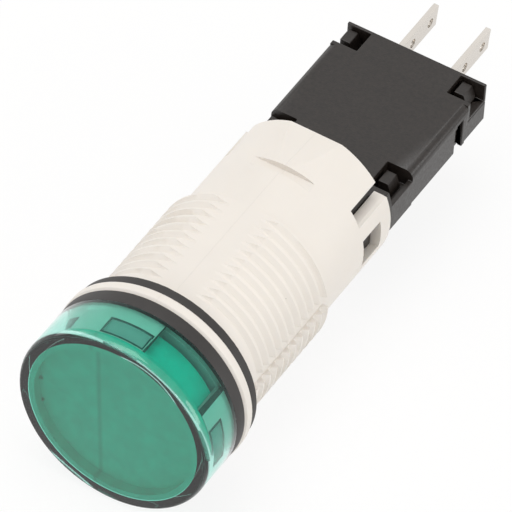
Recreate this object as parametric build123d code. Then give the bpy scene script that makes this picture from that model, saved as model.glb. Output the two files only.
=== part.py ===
from build123d import *
import math
import os

# A 16 mm panel pilot light: a green lens on a threaded barrel, with a black
# lamp block snapped into the back of the barrel.
# The frame: the lamp's axis is Y, the lens looks towards -Y, the terminals
# point to +Y, +Z is up and +X is to the right seen from the front.
# The origin is on the axis, in the face that the panel gasket presses on the
# panel. All sizes are in millimetres.

os.makedirs("parts", exist_ok=True)

# Barrel and its interrupted thread
barrel_radius = 7.23
barrel_wall = 1.1
barrel_length = 23.05
thread_root_rise = 0.17
thread_depth = 0.46
thread_pitch = 1.0
thread_crest = 0.16
thread_half_angle = 30.0
thread_start = 1.35
thread_length = 11.2
thread_phase = 42.0
thread_bed = 0.12
thread_flat_rise = 0.02
seat_rise = 0.04
keyway_low = 0.15
keyway_width = 1.15
keyway_depth = 0.55

# Rings in front of the panel
flange_overlap = 1.06
flange_thickness = 1.1
gasket_inset = 0.2
gasket_thickness = 0.95
seal_inset = 0.08
seal_thickness = 1.35
ring_edge = 0.18
ring_fit = 0.08

# Lens cap
lens_inset = 0.06
lens_length = 4.65
lens_face_thickness = 1.1
lens_wall = 0.95
lens_edge = 0.35
lug_angle = -3.0
lug_sweep = 26.0
lug_length = 1.5
lug_height = 0.4
lug_from_face = 1.1
lug_count = 4

# Spigot that the lens snaps onto
spigot_clearance = 0.08
spigot_wall = 0.85
spigot_from_face = 0.35
window_clearance = 0.15
window_depth = 0.5
cutout_from = 14.0
cutout_to = 58.0
cutout_from_flange = 0.75
small_window_angle = -42.0
small_window_sweep = 9.0
small_window_length = 1.4

# Notch and ramp on the smooth part of the barrel
notch_from_lip = 4.95
notch_width = 1.0
notch_depth = 0.58
ramp_drop = 0.42

# Latch arms and their windows
arm_length = 4.35
arm_overhang = 0.45
arm_half_angle = 33.5
arm_slot = 0.34
arm_corner = 2.0
arm_corner_rise = 1.15
arm_scoop_radius = 0.8
arm_scoop_depth = 0.28
window_from_root = 0.05
window_length = 2.75
window_height = 2.9

# Blade terminals
blade_thickness = 0.5
blade_width = 2.0
blade_length = 13.0
blade_out = 6.7
blade_spacing = 5.0
blade_offset = 0.45
blade_hole_radius = 0.42
blade_hole_from_tip = 1.35
blade_hole_spacing = 2.9
blade_slant = 0.3
blade_fit = 0.05
ear_length = 1.2
ear_floor = 0.35

# Circuit board
board_thickness = 1.0
board_side_gap = 0.68
board_fit = 0.05
board_from_guide = 0.3
board_from_shoulder = 1.15
board_slot_gap = 0.1

# Lamp block, a case below and a cover above
collar_gap = 0.1
collar_thickness = 0.75
collar_rise = 0.1
collar_half_height = 2.45
shoulder_length = 13.0
tail_length = 2.65
pass_margin = 0.47
case_inset = 0.14
block_wall = 0.8
blade_headroom = 0.2
rear_wall = 0.3
cover_edge = 0.75
parting_gap = 0.08
side_parting_height = 1.05
slot_head = 0.2
skirt_length = 3.6
skirt_wall = 0.45
skirt_fit = 0.09
skirt_lift = 0.12
slot_to_shoulder = 2.3
slot_length = 0.95
tongue_lip = 0.5
shoulder_round = 0.8

# Corner recesses and snap posts
recess_width = 2.45
recess_floor = 0.3
front_recess_length = 3.4
front_rim_height = 1.0
post_from_recess = 0.27
post_from_side = 0.4
post_flat = 0.92
post_from_front = 1.43
post_from_shoulder = 0.73
post_length = 1.46
post_drop = 0.38
post_barb = 0.38
post_barb_height = 0.12
post_fit = 0.06

# Nose that plugs into the barrel
nose_clearance = 0.1
nose_length = 10.35
nose_wall = 0.85
nose_set_in = 0.15
nose_plate = 0.8
catch_height = 0.35
catch_fit = 0.12
catch_ramp = 2.0

# Lamp and its guide
led_radius = 2.5
led_rim_radius = 2.9
led_rim_thickness = 1.0
led_body_length = 6.1
led_from_flange = 2.95
led_flat = 0.35
lead_size = 0.45
lead_spacing = 2.54
lead_length = 4.4
lead_gap = 0.025
guide_fit = 0.06
guide_thickness = 1.1
guide_boss_wall = 0.9

# Colour filter behind the lens face
filter_gap = 0.05
filter_rim = 0.25
filter_thickness = 0.8
filter_skirt = 3.05
filter_wall = 0.7
filter_fit = 0.12

# Parts on the board
resistor_radius = 0.95
resistor_length = 5.2
resistor_cap = 0.9
resistor_cap_rise = 0.1
resistor_from_board_end = 8.4
resistor_from_board_side = 1.75
capacitor_room = 1.43
capacitor_length = 6.6
capacitor_from_plate = 0.4
capacitor_lead = 0.4
capacitor_lead_spacing = 1.8
capacitor_groove = 0.12
part_room = 0.3
rectifier_length = 4.6
rectifier_width = 3.8
rectifier_from_collar = 3.35
rectifier_leg = 0.6
varistor_length = 3.1
varistor_width = 2.4
varistor_height = 1.1
varistor_from_board_end = 4.1
varistor_end = 0.5
varistor_cap_rise = 0.1
solder_height = 0.35
solder_length = 2.2
solder_width = 0.55
lead_solder_width = 0.275

# Barrel, rings and lens, worked out from the sizes above
barrel_bore = barrel_radius - barrel_wall
thread_root_radius = barrel_radius + thread_root_rise
thread_radius = thread_root_radius + thread_depth
seat_radius = thread_radius + seat_rise
thread_end = thread_start + thread_length
thread_flat_height = barrel_radius + thread_flat_rise
flange_radius = thread_radius + flange_overlap
gasket_front = -gasket_thickness
flange_front = gasket_front - flange_thickness
seal_front = flange_front - seal_thickness
lens_front = seal_front - lens_length
lens_radius = flange_radius - lens_inset
lens_bore = lens_radius - lens_wall
face_back = lens_front + lens_face_thickness
spigot_radius = lens_bore - spigot_clearance
spigot_bore = spigot_radius - spigot_wall
spigot_front = face_back + spigot_from_face
lug_front = face_back + lug_from_face
notch_rear = barrel_length - notch_from_lip
arm_rear = barrel_length + arm_overhang
arm_front = arm_rear - arm_length
arm_edge = barrel_radius * math.sin(math.radians(arm_half_angle))
window_front = arm_front + window_from_root

# Board and lamp
board_top = -lead_size / 2 - lead_gap
board_bottom = board_top - board_thickness
led_rear = flange_front + led_from_flange
board_front = led_rear + board_from_guide

# Lamp block
block_half_height = blade_width / 2 + blade_headroom + block_wall
case_bottom = -block_half_height
floor_top = board_bottom - board_fit
ceiling = block_half_height - block_wall
collar_front = arm_rear + collar_gap
block_front = collar_front + collar_thickness
shoulder_rear = block_front + shoulder_length
block_rear = shoulder_rear + tail_length
cover_half_width = barrel_radius - pass_margin
case_half_width = cover_half_width - case_inset
collar_radius = cover_half_width + collar_rise
skirt_rear = block_front + skirt_length
slot_front = shoulder_rear - slot_to_shoulder
tongue_front = slot_front + slot_length
tongue_rear = tongue_front + tongue_lip
recess_inner = cover_half_width - recess_width
front_recess_rear = block_front + front_recess_length
post_height = block_half_height - post_drop
nose_radius = barrel_bore - nose_clearance
nose_bore = nose_radius - nose_wall
nose_front = block_front - nose_length
nose_rear = barrel_length - nose_set_in
plate_front = nose_rear - nose_plate

# Parts on the board
board_half_width = nose_bore - board_side_gap
board_rear = shoulder_rear - board_from_shoulder
blade_rear = block_rear + blade_out
blade_front = blade_rear - blade_length
resistor_x = board_half_width - resistor_from_board_side
resistor_y = board_front + resistor_from_board_end
capacitor_radius = (nose_bore - capacitor_room - board_top) / 2
capacitor_rear = plate_front - capacitor_from_plate - 2 * capacitor_lead
rectifier_y = block_front + rectifier_from_collar
rectifier_height = ceiling - part_room - board_top
varistor_y = board_rear - varistor_from_board_end

# How far cutting shapes run past what they cut
over = 1.0
reach = 4 * flange_radius


def span(x0, x1, y0, y1, z0, z1):
    """A block between three pairs of coordinates."""
    corner = (Align.MIN, Align.MIN, Align.MIN)
    return Pos(x0, y0, z0) * Box(x1 - x0, y1 - y0, z1 - z0, align=corner)


def disc(radius, y0, y1):
    """A round bar along the lamp's axis."""
    base = (Align.CENTER, Align.CENTER, Align.MIN)
    return Pos(0, y0, 0) * Rot(-90, 0, 0) * Cylinder(radius, y1 - y0, align=base)


def tube(outer, inner, y0, y1):
    """A round tube along the lamp's axis."""
    return disc(outer, y0, y1) - disc(inner, y0 - over, y1 + over)


def sector(angle_from, angle_to, y0, y1):
    """A wedge about the axis, with angles from the top towards +X."""
    corners = [(0, 0)]
    for angle in (angle_from, angle_to):
        turn = math.radians(angle)
        corners.append((reach * math.sin(turn), reach * math.cos(turn)))
    face = Plane.XZ.offset(-y0) * make_face(Polyline(*corners, close=True))
    return extrude(face, y1 - y0, dir=(0, 1, 0))


def mirrored_x(solid):
    """The same solid on the other side of the lamp."""
    return mirror(solid, Plane.YZ)


def save(solid, name):
    """Write one piece of the lamp to its own file."""
    solid.label = name
    export_step(solid, f"parts/{name}.step")


# Lens cap
def lug_angles():
    """The angle of each snap lug about the axis, from the top."""
    return [lug_angle + turn * 360 / lug_count for turn in range(lug_count)]


def make_lens_cap():
    """A green cup with a rounded front edge and snap lugs inside."""
    outer = disc(lens_radius, lens_front, seal_front)
    outer = fillet(outer.edges().group_by(Axis.Y)[0], lens_edge)
    cup = outer - disc(lens_bore, face_back, seal_front + over)
    lug = tube(lens_bore + lens_wall / 2, lens_bore - lug_height, lug_front, lug_front + lug_length)
    half = lug_sweep / 2
    for angle in lug_angles():
        cup += lug & sector(angle - half, angle + half, lug_front, lug_front + lug_length)
    return cup


# Colour filter
def make_colour_filter():
    """A green cup inside the spigot, with a thin rim over the spigot's front."""
    front = face_back + filter_gap
    outer = spigot_bore - filter_fit
    cup = disc(outer, front, front + filter_skirt)
    cup += disc(lens_bore - filter_fit, front, front + filter_rim)
    return cup - disc(outer - filter_wall, front + filter_thickness, front + filter_skirt + over)


# Rubber rings
def make_ring(outer, inner, y0, y1):
    """A flat rubber ring with eased outer edges."""
    ring = tube(outer, inner, y0, y1)
    rims = ring.edges().filter_by(GeomType.CIRCLE).sort_by(SortBy.RADIUS)[-2:]
    return chamfer(rims, ring_edge)


def make_lens_seal():
    """The black ring between the lens and the flange."""
    return make_ring(flange_radius - seal_inset, spigot_radius + ring_fit, seal_front, flange_front)


def make_panel_gasket():
    """The black ring between the flange and the panel."""
    return make_ring(flange_radius - gasket_inset, seat_radius + ring_fit, gasket_front, 0)


# Barrel
def make_thread():
    """The ridge of the thread, one helix that starts inside the collar."""
    front = thread_start - thread_pitch
    path = Helix(thread_pitch, thread_end - front + thread_pitch, thread_root_radius,
                 center=(0, front, 0), direction=(0, 1, 0))
    rise = thread_radius - thread_root_radius
    half_crest = thread_crest / 2
    slope = math.tan(math.radians(thread_half_angle))
    half_root = half_crest + rise * slope
    half_bed = half_root + thread_bed * slope
    start = path @ 0
    radial = Vector(start.X, 0, start.Z).normalized()
    plane = Plane(origin=start, x_dir=radial, z_dir=radial.cross(Vector(0, 1, 0)))
    ridge = Polyline(
        (-thread_bed, -half_bed), (rise, -half_crest), (rise, half_crest), (-thread_bed, half_bed),
        close=True,
    )
    coil = sweep(plane * make_face(ridge), path=path, is_frenet=True)
    coil = Rot(0, thread_phase, 0) * coil
    return coil & disc(thread_radius + over, thread_start - thread_pitch / 2, thread_end)


def make_spigot():
    """The tube in front of the flange, with its windows for the lens."""
    tube_part = tube(spigot_radius, spigot_bore, spigot_front, flange_front)
    front = lug_front - window_clearance
    rear = lug_front + lug_length + window_clearance
    half = lug_sweep / 2 + math.degrees(window_clearance / spigot_radius)
    for angle in lug_angles():
        window = sector(angle - half, angle + half, front, rear)
        tube_part -= window - disc(spigot_radius - window_depth, front - over, rear + over)
    tube_part -= sector(cutout_from, cutout_to, spigot_front - over, flange_front - cutout_from_flange)
    small_half = small_window_sweep / 2
    tube_part -= sector(
        small_window_angle - small_half, small_window_angle + small_half,
        front, front + small_window_length,
    )
    return tube_part


def arm_outline(grow):
    """The face of a latch arm, as wide as its angle, wider by a margin."""
    edge = arm_edge + grow
    tip = edge - arm_corner_rise
    bend = arm_rear - arm_corner
    points = [
        (arm_front - grow, -edge), (bend, -edge), (arm_rear, -tip),
        (arm_rear, tip), (bend, edge), (arm_front - grow, edge),
    ]
    return make_face(Polyline(*points, close=True))


def make_arm():
    """The right latch arm, with its window and the scoops along its sides."""
    ring = tube(barrel_radius, barrel_bore, arm_front, arm_rear)
    face = Plane.YZ * arm_outline(0)
    arm = ring & extrude(face, reach)
    across = math.sqrt(barrel_radius**2 - arm_edge**2)
    for side in (-1, 1):
        centre_x = across + arm_scoop_radius - arm_scoop_depth
        scoop = Pos(centre_x, arm_front, side * (arm_edge - arm_scoop_radius / 2)) * Rot(-90, 0, 0)
        arm -= scoop * Cylinder(arm_scoop_radius, reach, align=(Align.CENTER, Align.CENTER, Align.MIN))
    return arm - arm_window()


def arm_window():
    """The opening in the right arm that the block's catch snaps into."""
    half = window_height / 2
    return span(0, reach, window_front, window_front + window_length, -half, half)


def make_body_barrel():
    """The cream moulding: spigot, flange, thread, barrel and latch arms."""
    solid = disc(barrel_radius, flange_front, barrel_length)
    between_flats = span(-reach, reach, -reach, reach, -thread_flat_height, thread_flat_height)
    core = disc(seat_radius, 0, thread_start) + disc(thread_root_radius, 0, thread_end)
    threaded = (core & between_flats) + (make_thread() & between_flats)
    solid += threaded
    solid += disc(seat_radius, gasket_front, 0)
    flange = disc(flange_radius, flange_front, gasket_front)
    solid += chamfer(flange.edges().filter_by(GeomType.CIRCLE), ring_edge)
    solid -= span(
        thread_radius - keyway_depth, reach, 0, thread_end + thread_pitch,
        keyway_low, keyway_low + keyway_width,
    )
    for side in (0, 180):
        notch_front = notch_rear - notch_width
        floor = barrel_radius - notch_depth
        solid -= Rot(0, side, 0) * span(-reach, reach, notch_front, notch_rear, floor, reach)
        ramp = Polyline(
            (notch_rear, barrel_radius), (arm_rear, barrel_radius - ramp_drop),
            (arm_rear, reach), (notch_rear, reach), close=True,
        )
        cutter = extrude(Plane.YZ.offset(-reach) * make_face(ramp), 2 * reach)
        solid -= Rot(0, side, 0) * cutter
    solid -= disc(barrel_bore, flange_front - over, barrel_length + over)
    gap = extrude(Plane.YZ * arm_outline(arm_slot), reach)
    gap_edge = arm_edge + arm_slot
    gap += span(0, reach, barrel_length - arm_corner, barrel_length + over, -gap_edge, gap_edge)
    gap -= span(0, reach, arm_front - over, arm_front, -reach, reach)
    solid -= gap
    solid -= mirrored_x(gap)
    arm = make_arm()
    solid += arm
    solid += mirrored_x(arm)
    solid += make_spigot()
    solid -= disc(spigot_bore, spigot_front - over, flange_front - cutout_from_flange)
    return solid


# Lamp block
def make_catch():
    """The right catch of the nose, with a sloping front."""
    half = window_height / 2 - catch_fit
    front = window_front + catch_fit
    rear = window_front + window_length - catch_fit
    tip = nose_radius + catch_height
    ramp = Polyline(
        (nose_bore, front), (nose_radius, front), (tip, front + catch_ramp), (tip, rear),
        (nose_bore, rear), close=True,
    )
    return extrude(make_face(ramp), half, both=True) - disc(nose_bore, front - over, rear + over)


def make_nose():
    """The round nose with its end plate, two catches, neck and flat collar."""
    neck = disc(nose_radius, nose_rear, collar_front) + disc(collar_radius, collar_front, block_front)
    tall = collar_half_height
    neck &= span(-reach, reach, nose_rear, block_front, -tall, tall)
    nose = tube(nose_radius, nose_bore, nose_front, nose_rear) + neck
    nose += disc(nose_radius, plate_front, nose_rear)
    catch = make_catch()
    nose += catch
    nose += mirrored_x(catch)
    half_slot = board_half_width + board_fit
    return nose - span(
        -half_slot, half_slot, plate_front - over, block_front + over, floor_top, ceiling
    )


def post_places():
    """The left side and front edge of each snap post."""
    left = -cover_half_width + post_from_side
    right = recess_inner + post_from_recess
    front = block_front + post_from_front
    rear = shoulder_rear + post_from_shoulder
    return [(x, y) for x in (left, right) for y in (front, rear)]


def make_post(x, y):
    """A snap post with a sloping side that ends in a barb."""
    side = x + post_flat
    barb = recess_floor + post_fit
    outline = Polyline(
        (x, case_bottom), (x, post_height), (side, post_height),
        (side + post_barb, barb + post_barb_height), (side + post_barb, barb), (side, barb),
        (side, case_bottom), close=True,
    )
    face = Plane.XZ.offset(-y) * make_face(outline)
    return extrude(face, post_length, dir=(0, 1, 0))


def post_hole(x, y):
    """The opening in the cover's floor that a post's stem passes."""
    return span(
        x - post_fit, x + post_flat + post_fit, y - post_fit, y + post_length + post_fit,
        -reach, reach,
    )


def blade_places():
    """The middle of each terminal across the block."""
    return (blade_offset - blade_spacing / 2, blade_offset + blade_spacing / 2)


def blade_slot(x):
    """The opening that a terminal leaves the block through."""
    half = blade_thickness / 2 + blade_fit
    edge = blade_width / 2 + blade_fit
    return span(x - half, x + half, shoulder_rear, block_rear + over, -edge, edge)


def make_cover_shoulders():
    """The cover's wide part, with its top edges and rear corners rounded."""
    width = cover_half_width
    low = case_bottom + skirt_lift
    body = span(-width, width, block_front, shoulder_rear, low, block_half_height)
    top_edges = body.edges().filter_by(Axis.Y).group_by(Axis.Z)[-1]
    body = fillet(top_edges, cover_edge)
    corner = span(
        width - shoulder_round, width + over, shoulder_rear - shoulder_round, shoulder_rear + over,
        -reach, reach,
    )
    round_bar = Pos(width - shoulder_round, shoulder_rear - shoulder_round, 0)
    corner -= round_bar * Cylinder(shoulder_round, 2 * reach)
    body -= corner
    body -= mirrored_x(corner)
    inner = width - skirt_wall
    body -= span(-inner, inner, block_front, shoulder_rear + over, -reach, ceiling)
    body -= span(-reach, reach, skirt_rear, slot_front, -reach, side_parting_height)
    body -= span(-reach, reach, slot_front, tongue_front, -reach, side_parting_height + slot_head)
    return body - span(-reach, reach, tongue_rear, shoulder_rear + over, -reach, parting_gap)


def make_cover_tail():
    """The cover's narrow rear part, with the thin rear wall."""
    width = case_half_width
    y0 = shoulder_rear - skirt_wall
    tail = span(-width, width, y0, block_rear, parting_gap, block_half_height)
    inner = recess_inner - skirt_wall
    return tail - span(-inner, inner, y0 - over, block_rear - rear_wall, -reach, ceiling)


def corner_pocket(side, front):
    """The hollow of one corner recess, above its floor."""
    x0, x1 = sorted((side * recess_inner, side * reach))
    if front:
        return span(x0, x1, block_front - over, front_recess_rear, recess_floor, reach)
    return span(x0, x1, shoulder_rear, block_rear - rear_wall, recess_floor, reach)


def corner_lining(side, front):
    """The walls and the floor that close a corner recess from below."""
    inner = recess_inner - skirt_wall
    outer = cover_half_width - skirt_wall
    x0, x1 = sorted((side * inner, side * outer))
    if front:
        return span(x0, x1, block_front, skirt_rear, parting_gap, ceiling)
    return span(x0, x1, shoulder_rear - skirt_wall, block_rear, parting_gap, ceiling)


def make_lamp_cover():
    """The upper half of the block: top, skirts, tongues, recesses, half nose."""
    cover = make_cover_shoulders() + make_cover_tail()
    for side in (-1, 1):
        for front in (True, False):
            cover += corner_lining(side, front)
        for front in (True, False):
            cover -= corner_pocket(side, front)
        x0, x1 = sorted((side * (cover_half_width - skirt_wall), side * cover_half_width))
        rim = span(x0, x1, block_front, front_recess_rear, recess_floor, front_rim_height)
        cover += rim
    cover += make_nose() & span(-reach, reach, nose_front, block_front, parting_gap, reach)
    for x, y in post_places():
        cover -= post_hole(x, y)
    for x in blade_places():
        cover -= blade_slot(x)
    return cover


def make_lamp_case():
    """The lower half of the block: floor, side panels, posts, half nose."""
    width = case_half_width
    inner = width - 2 * skirt_wall + skirt_fit
    narrow = cover_half_width - skirt_wall - skirt_fit
    case = span(-width, width, skirt_rear + skirt_fit, block_rear, case_bottom, 0)
    case += span(
        -width, width, skirt_rear + skirt_fit, slot_front, case_bottom,
        side_parting_height - parting_gap,
    )
    for side in (-1, 1):
        x0, x1 = sorted((side * narrow, side * reach))
        case -= span(x0, x1, slot_front, tongue_rear + skirt_fit, -reach, reach)
    case += span(-narrow, narrow, block_front, skirt_rear + over, case_bottom, 0)
    for side in (-1, 1):
        x0, x1 = sorted((side * inner, side * narrow))
        wall_rear = shoulder_rear - skirt_wall - skirt_fit
        case += span(x0, x1, slot_front - over, wall_rear, case_bottom, ceiling - parting_gap)
    case -= span(-inner, inner, block_front - over, block_rear - block_wall, floor_top, reach)
    case += make_nose() & span(-reach, reach, nose_front, block_front, -reach, 0)
    for x, y in post_places():
        case += make_post(x, y)
    for x in blade_places():
        case -= blade_slot(x)
        case -= ear_pocket(x)
    return case


# Blade terminals
def blade_ear_box(x, fit):
    """The ear under a terminal that the case's floor holds."""
    half = blade_thickness / 2 + fit
    low = case_bottom + ear_floor - fit
    return span(
        x - half, x + half, shoulder_rear - fit, shoulder_rear + ear_length + fit, low, 0
    )


def ear_pocket(x):
    """The pocket in the case's floor for a terminal's ear."""
    return blade_ear_box(x, blade_fit)


def make_terminal(x):
    """A flat blade on edge, with a slanted tip and two holes."""
    edge = blade_width / 2
    outline = Polyline(
        (blade_front, -edge), (blade_rear - blade_slant, -edge), (blade_rear, edge),
        (blade_front, edge), close=True,
    )
    half = blade_thickness / 2
    blade = extrude(Plane.YZ.offset(x - half) * make_face(outline), blade_thickness)
    outer_hole = blade_rear - blade_hole_from_tip
    for y in (outer_hole, outer_hole - blade_hole_spacing):
        blade -= Pos(x, y, 0) * Rot(0, 90, 0) * Cylinder(blade_hole_radius, 2 * blade_thickness)
    return blade + blade_ear_box(x, 0)


# Circuit board
def make_circuit_board():
    """The long board, slotted at its rear end for the terminals."""
    board = span(
        -board_half_width, board_half_width, board_front, board_rear, board_bottom, board_top
    )
    half = blade_thickness / 2 + blade_fit
    front = blade_front - board_slot_gap
    for x in blade_places():
        board -= span(x - half, x + half, front, board_rear + over, -reach, reach)
    return board


# Lamp and its guide
def make_led_lamp():
    """A round-nosed lamp with a rim and a flat on the rim."""
    straight = led_body_length - led_radius
    body = disc(led_radius, led_rear - straight, led_rear)
    body += Pos(0, led_rear - straight, 0) * Sphere(led_radius)
    rim = disc(led_rim_radius, led_rear - led_rim_thickness, led_rear)
    rim -= span(led_rim_radius - led_flat, reach, -reach, reach, -reach, reach)
    return body + rim


def make_led_lead(x):
    """A square lead from the lamp to the board."""
    half = lead_size / 2
    return span(x - half, x + half, led_rear, led_rear + lead_length, -half, half)


def make_lamp_guide():
    """A white disc on the barrel's shoulder, with a boss round the lamp."""
    plate = disc(spigot_bore - guide_fit, flange_front - guide_thickness, flange_front)
    boss_rear = led_rear - led_rim_thickness - guide_fit
    boss = disc(led_radius + guide_fit + guide_boss_wall, flange_front, boss_rear)
    guide = plate + boss
    bore = led_radius + guide_fit
    return guide - disc(bore, flange_front - guide_thickness - over, boss_rear + over)


# Parts on the board
def make_resistor(x):
    """A round resistor lying on its two end caps."""
    cap_radius = resistor_radius + resistor_cap_rise
    front = resistor_y - resistor_length / 2
    rear = resistor_y + resistor_length / 2
    body = disc(resistor_radius, front + resistor_cap, rear - resistor_cap)
    body += disc(cap_radius, front, front + resistor_cap)
    body += disc(cap_radius, rear - resistor_cap, rear)
    return Pos(x, 0, board_top + cap_radius) * body


def make_capacitor():
    """A round can lying on the board, with its two bent leads."""
    rear = capacitor_rear
    can = disc(capacitor_radius, rear - capacitor_length, rear)
    groove_y = rear - capacitor_radius / 2
    can -= tube(
        capacitor_radius + over, capacitor_radius - capacitor_groove, groove_y - capacitor_groove,
        groove_y + capacitor_groove,
    )
    drop = capacitor_radius
    half = capacitor_lead / 2
    for side in (-1, 1):
        x = side * capacitor_lead_spacing / 2
        can += span(x - half, x + half, rear, rear + 2 * capacitor_lead, -half, half)
        can += span(x - half, x + half, rear + capacitor_lead, rear + 2 * capacitor_lead, -drop, half)
    return Pos(0, 0, board_top + capacitor_radius) * can


def make_rectifier():
    """A flat bridge rectifier on four bent legs."""
    half_length = rectifier_length / 2
    half_width = rectifier_width / 2
    top = board_top + rectifier_height
    body = span(
        -half_width, half_width, rectifier_y - half_length, rectifier_y + half_length,
        board_top + parting_gap, top,
    )
    leg = rectifier_leg / 2
    for side in (-1, 1):
        for end in (-1, 1):
            y = rectifier_y + end * (half_length - rectifier_leg)
            x0, x1 = sorted((side * half_width, side * (half_width + rectifier_leg)))
            body += span(x0, x1, y - leg, y + leg, board_top, board_top + rectifier_height / 2)
    return body


def make_varistor():
    """A small block with a metal cap at each end."""
    half = varistor_length / 2
    width = varistor_width / 2
    cap = varistor_cap_rise
    body = span(
        -width, width, varistor_y - half, varistor_y + half, board_top + cap,
        board_top + varistor_height - cap,
    )
    for end in (-1, 1):
        y0, y1 = sorted((varistor_y + end * half, varistor_y + end * (half - varistor_end)))
        body += span(-width - cap, width + cap, y0, y1, board_top, board_top + varistor_height)
    return Pos(blade_offset, 0, 0) * body


def make_terminal_solder(x):
    """The solder round a terminal where it stands in the board."""
    half = blade_thickness / 2 + solder_width
    pool = span(
        x - half, x + half, blade_front - solder_width, blade_front + solder_length,
        board_top, board_top + solder_height,
    )
    pool = chamfer(pool.faces().sort_by(Axis.Z)[-1].edges(), solder_height / 2)
    return pool - make_terminal(x)


def make_lead_solder(x):
    """The solder over one lead of the lamp."""
    half = lead_size / 2 + lead_solder_width
    front = led_rear + lead_length / 2
    top = lead_size / 2 + solder_height / 2
    pool = span(x - half, x + half, front, front + solder_length, board_top, top)
    pool = chamfer(pool.faces().sort_by(Axis.Z)[-1].edges(), solder_height / 3)
    return pool - make_led_lead(x)


left_blade, right_blade = blade_places()
lead_x = lead_spacing / 2

save(make_lens_cap(), "lens_cap")
save(make_colour_filter(), "colour_filter")
save(make_lens_seal(), "lens_seal")
save(make_panel_gasket(), "panel_gasket")
save(make_body_barrel(), "body_barrel")
save(make_lamp_cover(), "lamp_cover")
save(make_lamp_case(), "lamp_case")
save(make_terminal(left_blade), "terminal_left")
save(make_terminal(right_blade), "terminal_right")
save(make_circuit_board(), "circuit_board")
save(make_led_lamp(), "led_lamp")
save(make_led_lead(-lead_x), "led_lead_left")
save(make_led_lead(lead_x), "led_lead_right")
save(make_lamp_guide(), "lamp_guide")
save(make_resistor(-resistor_x), "dropper_resistor_left")
save(make_resistor(resistor_x), "dropper_resistor_right")
save(make_capacitor(), "smoothing_capacitor")
save(make_rectifier(), "bridge_rectifier")
save(make_varistor(), "surge_varistor")
save(make_terminal_solder(left_blade), "terminal_solder_left")
save(make_terminal_solder(right_blade), "terminal_solder_right")
save(make_lead_solder(-lead_x), "lead_solder_left")
save(make_lead_solder(lead_x), "lead_solder_right")
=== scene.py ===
import logging
import math
import random
from dataclasses import dataclass, field
from enum import Enum, IntEnum
from typing import Callable, Iterable

import bmesh
import bpy
from mathutils import Matrix, Vector


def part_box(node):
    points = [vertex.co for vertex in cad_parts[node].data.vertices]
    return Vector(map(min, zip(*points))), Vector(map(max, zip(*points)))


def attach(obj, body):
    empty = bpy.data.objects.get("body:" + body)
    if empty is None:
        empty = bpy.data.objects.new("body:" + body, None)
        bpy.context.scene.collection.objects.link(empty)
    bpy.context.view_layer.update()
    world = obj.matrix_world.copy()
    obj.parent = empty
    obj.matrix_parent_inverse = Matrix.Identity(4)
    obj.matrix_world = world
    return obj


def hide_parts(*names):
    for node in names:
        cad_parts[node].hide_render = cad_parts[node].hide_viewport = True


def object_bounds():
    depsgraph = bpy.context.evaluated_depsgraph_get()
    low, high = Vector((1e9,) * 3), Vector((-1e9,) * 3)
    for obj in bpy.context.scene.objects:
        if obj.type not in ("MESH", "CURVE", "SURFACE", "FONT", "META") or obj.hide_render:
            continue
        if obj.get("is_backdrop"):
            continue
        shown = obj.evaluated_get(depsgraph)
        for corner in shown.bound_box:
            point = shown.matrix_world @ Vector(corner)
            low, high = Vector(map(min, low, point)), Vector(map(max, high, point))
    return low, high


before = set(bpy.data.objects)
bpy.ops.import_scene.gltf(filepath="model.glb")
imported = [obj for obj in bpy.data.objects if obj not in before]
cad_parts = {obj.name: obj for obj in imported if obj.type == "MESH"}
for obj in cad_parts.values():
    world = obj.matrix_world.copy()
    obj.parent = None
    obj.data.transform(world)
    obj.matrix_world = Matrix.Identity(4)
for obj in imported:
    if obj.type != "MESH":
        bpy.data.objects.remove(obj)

LOG = logging.getLogger("pilot_light")
Colour = tuple[float, float, float]
Point = tuple[float, float, float]

MM = 0.001
# The lamp's axis
AXIS: Point = (0.0, 1.0, 0.0)
# Corners nearer than this are one corner, in metres
SAME_CORNER = 2e-6
# Places nearer than this touch, in metres
TOUCH = 1e-5
# Edges sharper than this stay sharp in the shading
SHARP_ANGLE = math.radians(30.0)
# Faces that meet flatter than this are one face
FLAT_ANGLE = math.radians(0.5)
# Where the dark and the light parts of a noise lie
NOISE_RANGE = (0.3, 0.7)


class Slot(Enum):
    """The record's material slots that the pieces take their finish from."""

    LENS = "green_lens"
    FILTER = "green_filter"
    RUBBER = "black_rubber"
    CREAM = "cream_moulding"
    BLACK = "black_moulding"
    BLADE = "tinned_brass"
    BOARD = "board_laminate"
    LAMP = "lamp_resin"
    WIRE = "tinned_wire"
    GUIDE = "white_moulding"
    RESISTOR = "resistor_coat"
    CAPACITOR = "capacitor_sleeve"
    RECTIFIER = "rectifier_resin"
    VARISTOR = "varistor_body"
    SOLDER = "solder"


class CapFace(IntEnum):
    """The finishes of the lens cap's faces, by their place in its list."""

    SIDE = 0
    FRONT = 1
    # The lug sides carry painted shade and the lug tops painted light.
    LUG_SIDE_PAINTED_SHADE = 2
    LUG_TOP_PAINTED_LIGHT = 3


class BarrelFace(IntEnum):
    """The finishes of the barrel's faces, by their place in its list."""

    BODY = 0
    # The pocket floors carry painted light and the pocket walls painted shade.
    PAINTED_LIGHT_POCKET_FLOOR = 1
    PAINTED_SHADE_POCKET_WALL = 2


# Shared node groups


class NodeCanvas:
    """A node tree with short ways to add and join its nodes."""

    def __init__(self, tree: bpy.types.NodeTree) -> None:
        """Take an emptied tree.

        Args:
            tree: the tree to build in.
        """
        self.tree = tree
        self.tree.nodes.clear()

    def node(self, kind: str, **settings: object) -> bpy.types.Node:
        """Add a node and give it its settings.

        Args:
            kind: the node's type, without its prefix.
            settings: attributes of the node.

        Returns:
            The new node.
        """
        made = self.tree.nodes.new(f"ShaderNode{kind}")
        for key, value in settings.items():
            setattr(made, key, value)
        return made

    def join(self, source: bpy.types.NodeSocket, target: bpy.types.NodeSocket) -> None:
        """Join an output to an input.

        Args:
            source: the output.
            target: the input.
        """
        self.tree.links.new(source, target)


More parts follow.
